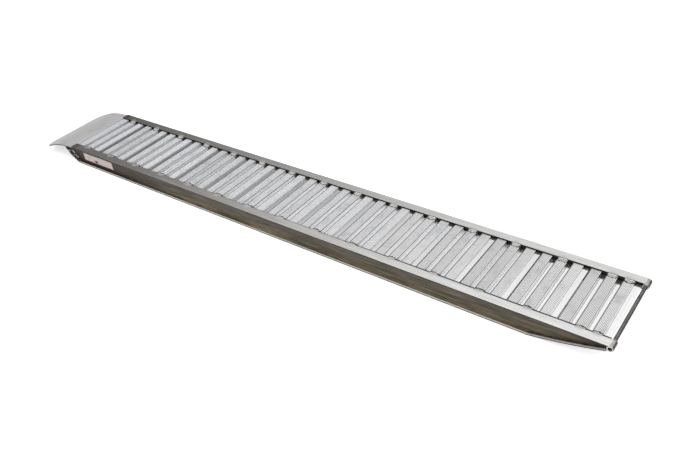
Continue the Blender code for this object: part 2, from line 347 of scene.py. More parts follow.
def add_node(tree, kind, settings=None, inputs=None):
    """Add a node, set its properties, and set or link its inputs.

    An input is a value, an output, or a node that gives its first output in use.
    """
    node = tree.nodes.new("ShaderNode" + kind)
    for name, value in (settings or {}).items():
        setattr(node, name, value)
    for name, value in (inputs or {}).items():
        if isinstance(value, bpy.types.Node):
            value = next(output for output in value.outputs if output.enabled)
        if isinstance(value, bpy.types.NodeSocket):
            tree.links.new(value, node.inputs[name])
        else:
            node.inputs[name].default_value = value
    return node


def object_place(tree):
    """Object coordinates."""
    return add_node(tree, "TexCoord").outputs["Object"]


def object_axes(tree):
    """The X, Y and Z of Object coordinates."""
    return add_node(tree, "SeparateXYZ", inputs={"Vector": object_place(tree)}).outputs


def band_of(tree, value, low, high, blur):
    """A mask that is 1 where a value lies between two places and fades out over blur."""
    rise = add_node(
        tree, "MapRange", SMOOTH, {"Value": value, "From Min": low - blur, "From Max": low}
    )
    fall = add_node(
        tree,
        "MapRange",
        SMOOTH,
        {"Value": value, "From Min": high, "From Max": high + blur, "To Min": 1, "To Max": 0},
    )
    return add_node(tree, "Math", MULTIPLY, {0: rise, 1: fall})


def band(tree, axis, low, high, blur, both_sides=False):
    """A band between two places on an axis.

    With both_sides the places are distances from the ramp's middle.
    """
    value = object_axes(tree)[axis]
    if both_sides:
        value = add_node(tree, "Math", ABSOLUTE, {0: value})
    return band_of(tree, value, low, high, blur)


def along_deck(tree):
    """How far along the deck a place is: 0 at its vehicle end, 1 at its ground end."""
    ends = {"From Min": node_low(PLANKS[0]).x, "From Max": node_high(PLANKS[-1]).x}
    return add_node(tree, "MapRange", inputs={"Value": object_axes(tree)["X"], **ends})


def towards_ground(tree, start, full, low=0, high=1, settings=SMOOTH):
    """A value that goes from low to high between two shares of the deck's length."""
    shares = {"From Min": start, "From Max": full, "To Min": low, "To Max": high}
    return add_node(tree, "MapRange", settings, {"Value": along_deck(tree), **shares})


def near_rail_shade_and_dirt(tree):
    """How strong the painted shade and dirt along the near rail are: most where the ramp meets
    the ground.
    """
    return towards_ground(tree, 0.5, 0.8, 0.4, 1)


def faces_along(tree, axis, low, high):
    """A mask of the faces whose normal reaches past low on an axis, full from high on."""
    normal = add_node(tree, "TexCoord").outputs["Normal"]
    value = add_node(tree, "SeparateXYZ", inputs={"Vector": normal}).outputs[axis]
    return add_node(
        tree, "MapRange", SMOOTH, {"Value": value, "From Min": low, "From Max": high}
    )


def patches(tree, size, low, high, to_low=0, to_high=1):
    """Cloudy patches about that size: to_low between them, to_high inside.

    Low and high are the noise values where a patch starts and where it is full.
    """
    cloud = add_node(
        tree,
        "TexNoise",
        inputs={
            "Vector": object_place(tree),
            "Scale": 1 / size,
            "Detail": 4,
            "Roughness": 0.6,
        },
    )
    reach = {"From Min": low, "From Max": high, "To Min": to_low, "To Max": to_high}
    return add_node(tree, "MapRange", SMOOTH, {"Value": cloud, **reach})


def streaks(tree, size, to_low=0, to_high=1):
    """Streaks of that size along x, y and z, from to_low to to_high."""
    stretch = add_node(
        tree,
        "Mapping",
        inputs={"Vector": object_place(tree), "Scale": [1 / length for length in size]},
    )
    cloud = add_node(tree, "TexNoise", inputs={"Vector": stretch, "Scale": 1, "Detail": 3})
    # Nearly all of the noise lies between these two values
    reach = {"From Min": 0.3, "From Max": 0.7, "To Min": to_low, "To Max": to_high}
    return add_node(tree, "MapRange", inputs={"Value": cloud, **reach})


def distance_to_welds(tree, sizes):
    """Ragged distance from the nearest plank weld, 1 where its brushed patch ends."""
    first, *_, last = weld_places(sizes)
    half_pitch = plank_pitch() / 2
    axes = object_axes(tree)
    along = add_node(tree, "Math", SUBTRACT, {0: axes["X"], 1: first})
    along = add_node(tree, "Math", WRAP, {0: along, 1: half_pitch, 2: -half_pitch})
    along = add_node(tree, "Math", ABSOLUTE, {0: along})
    from_last = add_node(tree, "Math", SUBTRACT, {0: axes["X"], 1: last})
    from_last = add_node(tree, "Math", ABSOLUTE, {0: from_last})
    along = add_node(tree, "Math", {"operation": "MINIMUM"}, {0: along, 1: from_last})
    brushed_half = sizes.bead_length / 2 + sizes.brushed_past
    along = add_node(tree, "Math", DIVIDE, {0: along, 1: brushed_half})
    across = add_node(tree, "Math", ABSOLUTE, {0: axes["Y"]})
    across = add_node(tree, "Math", SUBTRACT, {0: across, 1: flange_inner_y()})
    across = add_node(tree, "Math", DIVIDE, {0: across, 1: sizes.brushed_reach})
    offset = add_node(tree, "CombineXYZ", inputs={"X": along, "Y": across})
    reach = add_node(tree, "VectorMath", LENGTH, {0: offset})
    ragged = patches(tree, 9 * MM, 0.3, 0.7, -0.2, 0.2)
    return add_node(tree, "Math", ADD, {0: reach, 1: ragged})


def brushed_at_welds(tree, sizes):
    """A mask of the uneven patches that are wire-brushed bright around the plank welds."""
    return band_of(tree, distance_to_welds(tree, sizes), -BEYOND, 0.75, 0.3)


def soot_and_shadow_at_welds(tree, sizes):
    """A mask of the thin dark rings round the brushed patches: soot and painted contact shadow.
    """
    return band_of(tree, distance_to_welds(tree, sizes), 1, 1.28, 0.1)


def ribbed_tops(tree):
    """A mask of the planks' plateaus, down to the bottoms of their grooves."""
    top = deck_top()
    return band(tree, "Z", top - GROOVE_DEPTH - 0.4 * MM, top + MM, 0.4 * MM)


def place_on_plank(tree):
    """How far a place is from the start of its plank."""
    start = node_low(PLANKS[0]).x
    from_start = add_node(tree, "Math", SUBTRACT, {0: object_axes(tree)["X"], 1: start})
    return add_node(tree, "Math", WRAP, {0: from_start, 1: plank_pitch(), 2: 0})


def painted_shade_lines(tree, sizes):
    """A mask of the thin lines of painted shade along the planks.

    Painted shade darkens the front edge of each plateau and the joint between two
    planks, and towards the ground end it also darkens the wall under the brink of
    each valley.
    """
    top = deck_top()
    on_plank = place_on_plank(tree)
    on_step = add_node(tree, "Math", WRAP, {0: on_plank, 1: sizes.plateau_step, 2: 0})
    front_edge = band_of(tree, on_step, -MM, 3.2 * MM, 0.4 * MM)
    front_edge = add_node(tree, "Math", MULTIPLY, {0: front_edge, 1: ribbed_tops(tree)})

    under_brink = top - 1.2 * MM
    brink = band(tree, "Z", top - 4.4 * MM, under_brink, 0.3 * MM)
    cleaner = towards_ground(tree, 0.1, 0.45, settings=LINEAR)
    brink = add_node(tree, "Math", MULTIPLY, {0: brink, 1: cleaner})
    # In the last valleys the painted shade covers the walls down to the ledge's level
    walls = band(tree, "Z", top - LEDGE_DEPTH - 0.5 * MM, under_brink, 0.5 * MM)
    dull = towards_ground(tree, 0.84, 0.96, 0, 0.9)
    walls = add_node(tree, "Math", MULTIPLY, {0: walls, 1: dull})
    brink = add_node(tree, "Math", MAXIMUM, {0: brink, 1: walls})
    # A plank has two valleys, and its ledge comes after its third plateau
    valleys = band_of(tree, on_plank, 0, 2.5 * sizes.plateau_step, MM)
    brink = add_node(tree, "Math", MULTIPLY, {0: brink, 1: valleys})

    # The last plank has no neighbour, so its ledge has no joint shade up to its end
    joint = band_of(tree, on_plank, plank_pitch() - 5 * MM, BEYOND, MM)
    not_last = band(tree, "X", -BEYOND, node_high(PLANKS[-1]).x - 20 * MM, MM)
    joint = add_node(tree, "Math", MULTIPLY, {0: joint, 1: not_last})

    lines = add_node(tree, "Math", MAXIMUM, {0: front_edge, 1: brink})
    lines = add_node(tree, "Math", MAXIMUM, {0: lines, 1: joint})
    # The lip's rear edge covers the first line
    past_lip = band(tree, "X", node_low(PLANKS[0]).x + 8 * MM, BEYOND, MM)
    return add_node(tree, "Math", MULTIPLY, {0: lines, 1: past_lip})


def tone_of_each_plank(tree):
    """A value for each plank, from 0 to 1, as each was cut from another bar."""
    mid_gap = node_low(PLANKS[0]).x - 2 * MM
    count = add_node(tree, "Math", SUBTRACT, {0: object_axes(tree)["X"], 1: mid_gap})
    count = add_node(tree, "Math", DIVIDE, {0: count, 1: plank_pitch()})
    count = add_node(tree, "Math", {"operation": "FLOOR"}, {0: count})
    return add_node(tree, "TexWhiteNoise", {"noise_dimensions": "1D"}, {"W": count})


def finish_surface(tree, look, height, depth, strength=0.2):
    """Close a material with a Principled shader of that look and a fine relief."""
    relief = add_node(
        tree, "Bump", inputs={"Height": height, "Strength": strength, "Distance": depth}
    )
    shader = add_node(tree, "BsdfPrincipled", inputs={**look, "Normal": relief})
    add_node(tree, "OutputMaterial", inputs={"Surface": shader})


# Materials: each function draws the finish that it is named for


def mill_finish_rail_extrusion(tree, scene):
    """Mill-finish 6000-series extrusion of the side rails, aged outdoors.

    Wheels and hands keep the top face light: a satin metal that mirrors the surround
    softly. It is painted lighter towards the ground end, partly as a painted reflection
    of the brighter sky there and partly as a film that is thicker at the vehicle end.
    Everywhere else a dull brown film with run marks along the rail hides the gloss;
    its darkness is partly a painted reflection of the dark ground. The flanges' edges
    and undersides are painted darker as shade, and the outer part of the bottom
    flange's upper face is painted bright, as light that falls past the top flange.
    """
    colours = scene.ramp_colours
    sizes = scene.ramp_sizes
    top = node_high("near_side_rail").z
    foot = node_low("near_side_rail").z
    outside = node_high("far_side_rail").y
    flange = top - deck_top()
    deck_start = node_low(PLANKS[0]).x
    on_top = band(tree, "Z", top - 0.5 * MM, top + MM, 0.3 * MM)

    # Water leaves run marks some 260 mm long and 7 mm high along the web
    run_marks = streaks(tree, (260 * MM, 60 * MM, 7 * MM))
    # Painted light: the lowest 28 mm of the web are lightened against the shade at its foot
    web_foot_light = add_node(
        tree,
        "MapRange",
        inputs={
            "Value": object_axes(tree)["Z"],
            "From Min": foot + flange,
            "From Max": foot + flange + 28 * MM,
            "To Min": 2.1,
            "To Max": 1,
        },
    )
    darker_end = band(tree, "X", -BEYOND, deck_start + 250 * MM, 750 * MM)
    # Painted shade: the flanges' edges and undersides are darkened
    upper_edge = band(tree, "Z", top - flange, top, 0.3 * MM)
    lower_edge = band(tree, "Z", foot - MM, foot + flange - 1.5 * MM, 0.3 * MM)
    edges = add_node(tree, "Math", MAXIMUM, {0: upper_edge, 1: lower_edge})
    edges = add_node(tree, "MapRange", inputs={"Value": edges, "To Min": 1, "To Max": 0.25})
    # Over the run marks lie handling stains, and shorter and stronger run marks
    film = linear("#3D3427")
    for settings, mask, tone in (
        (BLEND, run_marks, colours.film),
        (BLEND, patches(tree, 90 * MM, 0.4, 0.6), linear("#565040")),
        (TINT, 1, streaks(tree, (160 * MM, 60 * MM, 12 * MM), 0.45, 1.5)),
        (TINT, 1, web_foot_light),
        (BLEND, darker_end, linear("#35271A")),
        (TINT, 1, edges),
    ):
        film = add_node(tree, "Mix", settings, {FACTOR: mask, FIRST: film, SECOND: tone})

    # Painted shade and dirt: a dark line along the near flange's inner edge
    inner = -flange_inner_y()
    line = band(tree, "Y", inner - 2 * MM, inner + MM, 0.5 * MM)
    line = add_node(tree, "Math", MULTIPLY, {0: line, 1: near_rail_shade_and_dirt(tree)})
    line = add_node(tree, "MapRange", inputs={"Value": line, "To Min": 1, "To Max": 0.3})
    # Soot of the weld lies where the top flange starts
    scorched = band(tree, "X", -BEYOND, deck_start + 8 * MM, 40 * MM)
    soot = patches(tree, 14 * MM, 0.35, 0.6, 0.45, 1)
    scorched = add_node(tree, "Math", MULTIPLY, {0: scorched, 1: soot})
    # Painted reflection and film: grey top face at the vehicle end, near white at the ground end
    face = linear("#A09C97")
    for settings, mask, tone in (
        (BLEND, towards_ground(tree, -0.05, 0.95), colours.flange),
        (TINT, 1, streaks(tree, (150 * MM, 12 * MM, 12 * MM), 0.9, 1.05)),
        (BLEND, brushed_at_welds(tree, sizes), colours.weld),
        (TINT, 1, line),
        (BLEND, scorched, linear("#70685F")),
    ):
        face = add_node(tree, "Mix", settings, {FACTOR: mask, FIRST: face, SECOND: tone})

    # Painted light: the outer part of the bottom flange's upper face, lit past the top flange
    rim = band(tree, "Y", outside - 5.5 * MM, outside + MM, MM, both_sides=True)
    lit_flange_rim = band(tree, "Z", foot + flange - 1.2 * MM, foot + flange + MM, 0.3 * MM)
    lit_flange_rim = add_node(tree, "Math", MULTIPLY, {0: rim, 1: lit_flange_rim})
    # Die lines are 0.3 to 1 mm wide; they are drawn 5 mm wide, so that they show
    die_lines = streaks(tree, (400 * MM, 5 * MM, 5 * MM), 0.9, 1.06)
    colour = film
    for settings, mask, tone in (
        (BLEND, on_top, face),
        (BLEND, lit_flange_rim, linear("#F6F3EE")),
        (TINT, 1, die_lines),
    ):
        colour = add_node(tree, "Mix", settings, {FACTOR: mask, FIRST: colour, SECOND: tone})
    metal = add_node(tree, "MapRange", inputs={"Value": on_top, "To Min": 0.25, "To Max": 0.92})
    rough = add_node(tree, "MapRange", inputs={"Value": on_top, "To Min": 0.55, "To Max": 0.27})
    handled = patches(tree, 30 * MM, 0.45, 0.7, 0, 0.06)
    rough = add_node(tree, "Math", ADD, {0: rough, 1: handled})
    look = {"Base Color": colour, "Metallic": metal, "Roughness": rough}
    finish_surface(tree, look, die_lines, 0.2 * MM, strength=0.25)


def bent_flat_bar(tree, scene):
    """Flat bar bent over the rails' ends: dark, with lighter patches on its upward faces.

    At the ground end the rim of its upper face is painted bright as a highlight. At the
    vehicle end it only shows painted glints: bright specks where the welds catch the light.
    """
    outside = node_high("far_side_rail").y
    facing_up = faces_along(tree, "Z", 0.2, 0.5)
    # Painted highlight along the rim of the upper face, at the ground end only
    rim = band(tree, "Y", outside - 6 * MM, outside + MM, 1.5 * MM, both_sides=True)
    rim = add_node(tree, "Math", MULTIPLY, {0: facing_up, 1: rim})
    rim = add_node(tree, "Math", MULTIPLY, {0: rim, 1: band(tree, "X", 0, BEYOND, MM)})
    # Painted glints of the welds, at the vehicle end only
    painted_glints = patches(tree, 11 * MM, 0.56, 0.62)
    vehicle_half = band(tree, "X", -BEYOND, 0, MM)
    painted_glints = add_node(tree, "Math", MULTIPLY, {0: painted_glints, 1: vehicle_half})
    bright = add_node(tree, "Math", MAXIMUM, {0: rim, 1: painted_glints})
    cleaner = patches(tree, 22 * MM, 0.4, 0.6)
    cleaner = add_node(tree, "Math", MULTIPLY, {0: facing_up, 1: cleaner})
    colour = linear("#35302B")
    for mask, tone in (
        (patches(tree, 18 * MM, 0.35, 0.65), linear("#26221E")),
        (cleaner, scene.ramp_colours.strip),
        (bright, linear("#F4F1EC")),
    ):
        colour = add_node(tree, "Mix", BLEND, {FACTOR: mask, FIRST: colour, SECOND: tone})
    metal = add_node(tree, "MapRange", inputs={"Value": bright, "To Min": 0.05, "To Max": 0.5})
    look = {
        "Base Color": colour,
        "Metallic": metal,
        "Roughness": patches(tree, 12 * MM, 0.35, 0.7, 0.36, 0.52),
    }
    # Rolling marks are under 1 mm wide; they are drawn 3 mm wide, so that they show
    finish_surface(tree, look, streaks(tree, (3 * MM, 40 * MM, 3 * MM)), 0.2 * MM)


def mill_finish_deck_extrusion(tree, scene):
    """Mill-finish extrusion of the planks.

    The ribbed plateaus scatter the light and stay an even cool grey. The smooth
    ledges keep the press's gloss. The valleys are matte, and only the last ones are
    rubbed bright. Ledges and valleys are painted lighter towards the ground end, a
    painted reflection of the brighter sky there and painted shade at the vehicle end.
    Painted shade draws thin dark lines along the edges and joints, darkens the last
    valleys' walls and the planks where they run under the flanges, and lies with dirt
    along the near rail; soot and painted contact shadow ring the welds.
    """
    colours = scene.ramp_colours
    sizes = scene.ramp_sizes
    top = deck_top()
    inner = flange_inner_y()
    rail_top = node_high("near_side_rail").z
    along = along_deck(tree)
    brushed = brushed_at_welds(tree, sizes)

    # Painted shadow and dirt along the near rail, wider on the lower surfaces, as the flange's
    # shadow falls
    axes = object_axes(tree)
    near_shadow_and_dirt = add_node(tree, "Math", ADD, {0: axes["Y"], 1: axes["Z"]})
    near_shadow_and_dirt = band_of(tree, near_shadow_and_dirt, -BEYOND, rail_top - inner + 4.5 * MM, 1.2 * MM)
    near_shadow_and_dirt = add_node(tree, "Math", MULTIPLY, {0: near_shadow_and_dirt, 1: near_rail_shade_and_dirt(tree)})
    # Painted shade where the planks run under the far flange
    far_flange_shade = band(tree, "Y", inner - 1.5 * MM, BEYOND, 1.5 * MM)
    # The dirt mask gathers painted shade and shadow as well as soot and dirt
    dirt = add_node(tree, "Math", MAXIMUM, {0: far_flange_shade, 1: near_shadow_and_dirt})
    not_brushed = add_node(tree, "Math", SUBTRACT, {0: 1, 1: brushed})
    dirt = add_node(tree, "Math", MULTIPLY, {0: dirt, 1: not_brushed})
    for marks in (soot_and_shadow_at_welds(tree, sizes), painted_shade_lines(tree, sizes)):
        dirt = add_node(tree, "Math", MAXIMUM, {0: dirt, 1: marks})

    own_tone = tone_of_each_plank(tree)
    own_tone = add_node(
        tree, "MapRange", inputs={"Value": own_tone, "To Min": 0.93, "To Max": 1.05}
    )
    # The last plateau of each plank is a little brighter
    rubbed = band_of(tree, place_on_plank(tree), 1.9 * sizes.plateau_step, BEYOND, MM)
    rubbed = add_node(tree, "MapRange", inputs={"Value": rubbed, "To Min": 1, "To Max": 1.09})
    # Painted shade in the bottoms of the grooves
    groove_shade = band(tree, "Z", top - GROOVE_DEPTH - 0.2 * MM, top - GROOVE_DEPTH / 2, 0.2 * MM)
    crest = colours.crest
    for settings, mask, tone in (
        (BLEND, along, linear("#E9E8E8")),
        (BLEND, patches(tree, 70 * MM, 0.48, 0.75), linear("#CFD1D2")),
        (TINT, 1, own_tone),
        (TINT, 1, rubbed),
        (BLEND, groove_shade, linear("#5E6062")),
    ):
        crest = add_node(tree, "Mix", settings, {FACTOR: mask, FIRST: crest, SECOND: tone})

    level = top - LEDGE_DEPTH
    on_ledge = band(tree, "Z", level - 0.5 * MM, level + 0.4 * MM, 0.4 * MM)
    # Painted reflection and shade: ledges grey at the vehicle end, near white at the ground end
    ledge = add_node(
        tree, "Mix", BLEND, {FACTOR: along, FIRST: linear("#A0A1A3"), SECOND: colours.ledge}
    )
    # Painted reflection: the valleys grow lighter towards the ground end
    cleaner = towards_ground(tree, 0.05, 0.5, settings=LINEAR)
    valley = add_node(
        tree, "Mix", BLEND, {FACTOR: cleaner, FIRST: linear("#D6D8DA"), SECOND: colours.ledge}
    )
    # Only the last valleys are rubbed bright
    bright_valley = band(tree, "Z", -BEYOND, top - 3 * MM, 0.5 * MM)
    last_ones = towards_ground(tree, 0.75, 0.87)
    bright_valley = add_node(tree, "Math", MULTIPLY, {0: bright_valley, 1: last_ones})
    glossy = add_node(tree, "Math", MAXIMUM, {0: on_ledge, 1: bright_valley})

    # Die lines are 0.3 to 1 mm wide; they are drawn 4 mm wide, so that they show
    die_lines = streaks(tree, (4 * MM, 300 * MM, 4 * MM), 0.95, 1.04)
    colour = valley
    for settings, mask, tone in (
        (BLEND, on_ledge, ledge),
        (BLEND, ribbed_tops(tree), crest),
        (TINT, 1, die_lines),
        (BLEND, brushed, colours.weld),
        # Painted shade, soot and dirt share one dark colour
        (BLEND, dirt, linear("#3A3734")),
    ):
        colour = add_node(tree, "Mix", settings, {FACTOR: mask, FIRST: colour, SECOND: tone})
    metal = add_node(tree, "MapRange", inputs={"Value": glossy, "To Min": 0.3, "To Max": 0.92})
    clean = add_node(tree, "MapRange", inputs={"Value": dirt, "To Min": 1, "To Max": 0.1})
    metal = add_node(tree, "Math", MULTIPLY, {0: metal, 1: clean})
    rough = add_node(tree, "MapRange", inputs={"Value": glossy, "To Min": 0.46, "To Max": 0.13})
    rough = add_node(tree, "Math", {"operation": "MULTIPLY_ADD"}, {0: dirt, 1: 0.4, 2: rough})
    # Etched grain of the weathered surface, about 3 mm
    grain = patches(tree, 3 * MM, 0.35, 0.65)
    height = add_node(tree, "Math", ADD, {0: die_lines, 1: grain})
    look = {"Base Color": colour, "Metallic": metal, "Roughness": rough}
    finish_surface(tree, look, height, 0.2 * MM)


def rolled_sheet_lip(tree, scene):
    """Rolled 5000-series sheet of the lip: satin, with a faint grain and edges painted dark as
    shade.
    """
    flat_faces = faces_along(tree, "Z", 0.5, 0.85)
    # Rolling lines are under 1 mm wide; they are drawn 5 mm wide, so that they show
    rolling_lines = streaks(tree, (5 * MM, 200 * MM, 5 * MM), 0.95, 1.04)
    cloudy = patches(tree, 80 * MM, 0.45, 0.8)
    sheet = add_node(
        tree,
        "Mix",
        BLEND,
        {FACTOR: cloudy, FIRST: scene.ramp_colours.lip, SECOND: linear("#B4B2B1")},
    )
    # Painted shade: the faces that don't look up are near black
    colour = linear("#1A1816")
    for settings, mask, tone in ((BLEND, flat_faces, sheet), (TINT, 1, rolling_lines)):
        colour = add_node(tree, "Mix", settings, {FACTOR: mask, FIRST: colour, SECOND: tone})
    metal = add_node(tree, "MapRange", inputs={"Value": flat_faces, "To Min": 0, "To Max": 0.3})
    look = {
        "Base Color": colour,
        "Metallic": metal,
        "Roughness": patches(tree, 50 * MM, 0.4, 0.7, 0.48, 0.6),
    }
    finish_surface(tree, look, rolling_lines, 0.1 * MM)


def drawn_round_bar(tree, scene):
    """Drawn round bar with worn patches, painted light along its top and dark as shade below."""
    worn = patches(tree, 35 * MM, 0.4, 0.68)
    upper = add_node(
        tree,
        "Mix",
        BLEND,
        {FACTOR: worn, FIRST: scene.ramp_colours.bar, SECOND: linear("#6E6A67")},
    )
    # Painted light and shade: the top of the bar is light, its sides and underside dark
    facing_up = faces_along(tree, "Z", 0.55, 0.9)
    colour = add_node(
        tree, "Mix", BLEND, {FACTOR: facing_up, FIRST: linear("#37322E"), SECOND: upper}
    )
    look = {
        "Base Color": colour,
        "Metallic": 0.8,
        "Roughness": patches(tree, 20 * MM, 0.4, 0.7, 0.32, 0.5),
    }
    # Drawing marks are under 1 mm wide; they are drawn 3 mm wide, so that they show
    finish_surface(tree, look, streaks(tree, (3 * MM, 150 * MM, 3 * MM)), 0.1 * MM)


def sawn_tube_ferrule(tree, scene):
    """Sawn and deburred tube of the ferrules: light satin metal, painted dark as shade on its
    outer side.
    """
    worn = patches(tree, 12 * MM, 0.45, 0.7)
    facing_out = faces_along(tree, "X", 0.35, 0.85)
    colour = scene.ramp_colours.ferrule
    # Painted shade darkens the outer side
    for mask, tone in ((worn, linear("#918B86")), (facing_out, linear("#4A443F"))):
        colour = add_node(tree, "Mix", BLEND, {FACTOR: mask, FIRST: colour, SECOND: tone})
    look = {
        "Base Color": colour,
        "Metallic": 0.75,
        "Roughness": patches(tree, 8 * MM, 0.4, 0.7, 0.3, 0.48),
    }
    # Dents and saw marks, about 5 mm across
    finish_surface(tree, look, patches(tree, 5 * MM, 0.4, 0.7), 0.2 * MM)


def weld_bead_aluminium(tree, scene):
    """Weld metal: bright and clean on its crown, with grey soot in patches."""
    soot = patches(tree, 10 * MM, 0.5, 0.72)
    colour = add_node(
        tree,
        "Mix",
        BLEND,
        {FACTOR: soot, FIRST: scene.ramp_colours.weld, SECOND: linear("#8E8983")},
    )
    look = {"Base Color": colour, "Metallic": 0.7, "Roughness": 0.3}
    finish_surface(tree, look, soot, 0.3 * MM, strength=0.3)


def blank_label_film(tree, scene):
    """Polyester label film left blank: pale and satin, with a few grubby patches and painted
    shade round its hole.
    """
    sizes = scene.ramp_sizes
    grime = patches(tree, 20 * MM, 0.45, 0.75, 0, 0.6)
    # Painted shade of the securing hole: a near black ring round it, twice as long as it is high
    hole = node_low("blank_label") + Vector((sizes.hole_along, 0, sizes.hole_up))
    ring = add_node(tree, "VectorMath", SUBTRACT, {0: object_place(tree), 1: hole})
    ring = add_node(tree, "VectorMath", MULTIPLY, {0: ring, 1: (0.5, 0, 1)})
    ring = add_node(tree, "VectorMath", LENGTH, {0: ring})
    ring = band_of(tree, ring, -BEYOND, sizes.hole_shade_reach, 1.5 * MM)
    colour = scene.ramp_colours.label
    for mask, tone in ((grime, linear("#A0918A")), (ring, linear("#0F0D0C"))):
        colour = add_node(tree, "Mix", BLEND, {FACTOR: mask, FIRST: colour, SECOND: tone})
    look = {"Base Color": colour, "Roughness": 0.45}
    finish_surface(tree, look, grime, 0.1 * MM, strength=0.1)


def white_floor(tree, scene):
    """Plain white floor that keeps the ramp's shadow.

    Where the floor is seen, directly or in metal, it adds a little light, so that
    it is white away from the shadow.
    """
    stage = scene.ramp_stage
    paint = add_node(tree, "BsdfDiffuse", inputs={"Color": stage.floor_colour})
    rays = add_node(tree, "LightPath").outputs
    seen = rays["Is Camera Ray"]
    for ray in ("Is Glossy Ray", "Is Transmission Ray"):
        seen = add_node(tree, "Math", MAXIMUM, {0: seen, 1: rays[ray]})
    strength = add_node(tree, "Math", MULTIPLY, {0: seen, 1: stage.floor_glow})
    glow = add_node(
        tree, "Emission", inputs={"Color": linear("#FFFFFF"), "Strength": strength}
    )
    both = add_node(tree, "AddShader", inputs={0: paint, 1: glow})
    add_node(tree, "OutputMaterial", inputs={"Surface": both})


def dim_surround(tree, scene):
    """Dim grey of a yard's surroundings, which opens evenly into white light above."""
    stage = scene.ramp_stage
    height = object_axes(tree)["Z"]
    angle = add_node(
        tree, "Math", {"operation": "ARCTAN2"}, {0: height, 1: stage.surround_radius}
    )
    ends = {"From Min": stage.surround_low, "From Max": stage.surround_high}
    rise = add_node(tree, "MapRange", inputs={"Value": angle, **ends})
    colour = add_node(
        tree,
        "Mix",
        BLEND,
        {FACTOR: rise, FIRST: stage.surround_colour, SECOND: linear("#FFFFFF")},
    )
    glow = add_node(tree, "Emission", inputs={"Color": colour})
    add_node(tree, "OutputMaterial", inputs={"Surface": glow})


def made_of(finish):
    """The material that a finish function draws, named after it and made once."""
    material = bpy.data.materials.get(finish.__name__)
    if material is None:
        material = bpy.data.materials.new(finish.__name__)
        material.use_nodes = True
        material.node_tree.nodes.clear()
        finish(material.node_tree, bpy.context.scene)
    return material


# Working on pieces as by hand


def only(piece):
    """Leave object mode's selection with that piece alone."""
    if bpy.context.object and bpy.context.object.mode != "OBJECT":
        bpy.ops.object.mode_set(mode="OBJECT")
    bpy.ops.object.select_all(action="DESELECT")
    piece.select_set(True)
    bpy.context.view_layer.objects.active = piece


def own_copy(source, name):
    """A copy of an object with its own mesh, selected alone."""
    piece = source.copy()
    piece.data = source.data.copy()
    piece.name = name
    bpy.context.scene.collection.objects.link(piece)
    only(piece)
    return piece


def soften(piece, radius, segments, angle):
    """Round a piece's sharp edges, and shade it so that its flat faces stay flat."""
    only(piece)
    rounding = piece.modifiers.new("edge_rounding", "BEVEL")
    rounding.width = radius
    rounding.segments = segments
    rounding.limit_method = "ANGLE"
    rounding.angle_limit = angle
    bpy.ops.object.modifier_apply(modifier=rounding.name)
    bpy.ops.object.shade_smooth_by_angle(angle=CURVE_ANGLE)
    flatten = piece.modifiers.new("flat_faces", "WEIGHTED_NORMAL")
    flatten.keep_sharp = True
    bpy.ops.object.modifier_apply(modifier=flatten.name)


def dressed_copy(node, radius, segments=2, angle=EDGE_ANGLE):
    """Copy a CAD node, join its loose triangles into whole faces and round its edges."""
    piece = own_copy(frame["nodes"][node], node + "_dressed")
    piece.parent = None
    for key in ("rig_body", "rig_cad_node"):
        if key in piece:
            del piece[key]
    bpy.ops.object.mode_set(mode="EDIT")
    bpy.ops.mesh.select_all(action="SELECT")
    bpy.ops.mesh.remove_doubles(threshold=JOIN_DISTANCE)
    bpy.ops.mesh.dissolve_limited(angle_limit=FLAT_ANGLE)
    bpy.ops.object.mode_set(mode="OBJECT")
    soften(piece, radius, segments, angle)
    return piece


def copy_to(first, name, move, turn_z=0, turn_y=0):
    """A copy of a piece, turned about the origin and then moved."""
    piece = own_copy(first, name)
    piece.rotation_euler = (0, turn_y, turn_z)
    piece.location = move
    bpy.ops.object.transform_apply(location=True, rotation=True, scale=True)
    return piece


def ride(piece, material, nodes=()):
    """Give a finished piece its material and its body, and hide the CAD nodes that it stands for.
    """
    piece.data.materials.clear()
    piece.data.materials.append(material)
    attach(piece, BODY)
    if nodes:
        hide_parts(*nodes)


def dress(node, finish, radius, segments=2):
    """Put a dressed copy with that finish in a CAD node's place."""
    ride(dressed_copy(node, radius, segments), made_of(finish), [node])


class RAMP_OT_side_rails(bpy.types.Operator):
    """Dress both side rails"""

    bl_idname = "ramp.side_rails"
    bl_label = "Side rails"

    def execute(self, context):
        sizes = context.scene.ramp_sizes
        for side in SIDES:
            node = side + "_side_rail"
            dress(node, mill_finish_rail_extrusion, sizes.edge_radius)
        return {"FINISHED"}


class RAMP_OT_deck_planks(bpy.types.Operator):
    """Dress the ribbed deck planks"""

    bl_idname = "ramp.deck_planks"
    bl_label = "Deck planks"

    def execute(self, context):
        sizes = context.scene.ramp_sizes
        material = made_of(mill_finish_deck_extrusion)
        first = dressed_copy(PLANKS[0], sizes.rib_radius, angle=RIB_ANGLE)
        start = node_low(PLANKS[0])
        for node in PLANKS[1:]:
            plank = copy_to(first, node + "_dressed", node_low(node) - start)
            ride(plank, material, [node])
        ride(first, material, [PLANKS[0]])
        return {"FINISHED"}


class RAMP_OT_lip(bpy.types.Operator):
    """Dress the lip plate and the angle bar that carries it"""

    bl_idname = "ramp.lip"
    bl_label = "Lip"

    def execute(self, context):
        radius = context.scene.ramp_sizes.edge_radius
        dress("lip_plate", rolled_sheet_lip, radius)
        dress("lip_support_angle", mill_finish_rail_extrusion, radius)
        return {"FINISHED"}


class RAMP_OT_end_strips(bpy.types.Operator):
    """Dress the strips that close the rails at both ends"""

    bl_idname = "ramp.end_strips"
    bl_label = "End strips"

    def execute(self, context):
        radius = context.scene.ramp_sizes.edge_radius
        for side in SIDES:
            for strip in ("_nose_strip", "_taper_strip"):
                dress(side + strip, bent_flat_bar, radius)
        return {"FINISHED"}


